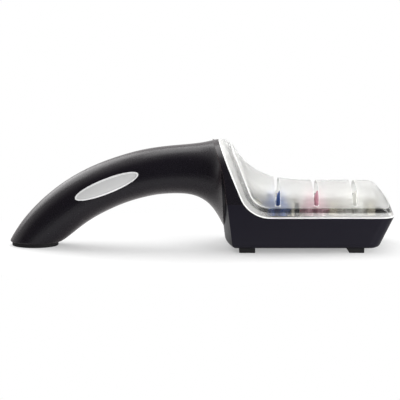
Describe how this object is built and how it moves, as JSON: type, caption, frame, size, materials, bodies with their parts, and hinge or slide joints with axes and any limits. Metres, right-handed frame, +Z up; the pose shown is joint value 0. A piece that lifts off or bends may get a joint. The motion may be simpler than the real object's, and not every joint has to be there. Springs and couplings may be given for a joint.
{
  "type": "pull-through knife sharpener",
  "caption": "Arched handle on a boat-shaped water tray, with a slotted frosted cover over pairs of turning ceramic wheels that sharpen a kitchen knife drawn through the slots.",
  "frame": {"origin": "on the table, below the middle of the object's length and width", "axes": "+X from the handle's heel towards the head's nose, -Y the side with the badge, +Z up"},
  "size_m": [0.2346, 0.0562, 0.0659],
  "materials": {
    "black_plastic": "satin",
    "rubber": "matte",
    "badge_silver": "satin",
    "stainless": "brushed",
    "frosted_cover": "frosted",
    "ivory_plastic": "satin",
    "grey_plastic": "satin",
    "blue_plastic": "satin",
    "pink_plastic": "satin",
    "white_plastic": "satin",
    "blue_ceramic": "fine grit",
    "pink_ceramic": "fine grit",
    "white_ceramic": "fine grit"
  },
  "bodies": {
    "base": {"handle": "black_plastic", "base_tray": "black_plastic", "heel_pad": "rubber", "foot_rear_near": "rubber", "foot_rear_far": "rubber", "foot_front_near": "rubber", "foot_front_far": "rubber", "badge": "badge_silver", "handle_screws": "stainless", "wheel_carrier": "ivory_plastic", "axle_keepers": "grey_plastic"},
    "cover": {"cover": "frosted_cover"},
    "coarse_wheels": {"coarse_axle": "stainless", "coarse_hub": "blue_plastic", "coarse_end_cap": "blue_plastic", "coarse_rear_wheel": "blue_ceramic", "coarse_front_wheel": "blue_ceramic"},
    "medium_wheels": {"medium_axle": "stainless", "medium_hub": "pink_plastic", "medium_end_cap": "pink_plastic", "medium_rear_wheel": "pink_ceramic", "medium_front_wheel": "pink_ceramic"},
    "fine_wheels": {"fine_axle": "stainless", "fine_hub": "white_plastic", "fine_end_cap": "white_plastic", "fine_rear_wheel": "white_ceramic", "fine_front_wheel": "white_ceramic"}
  },
  "joints": [
    {"name": "cover_lift", "type": "slide", "parent": "base", "child": "cover", "axis": [0, 0, 1], "range_m": [0, 0.06]},
    {"name": "coarse_spin", "type": "hinge", "parent": "base", "child": "coarse_wheels", "pos_m": [0.04675, 0, 0.022], "axis": [1, 0, 0], "continuous": true},
    {"name": "medium_spin", "type": "hinge", "parent": "base", "child": "medium_wheels", "pos_m": [0.07005, 0, 0.022], "axis": [1, 0, 0], "continuous": true},
    {"name": "fine_spin", "type": "hinge", "parent": "base", "child": "fine_wheels", "pos_m": [0.09335, 0, 0.022], "axis": [1, 0, 0], "continuous": true}
  ]
}
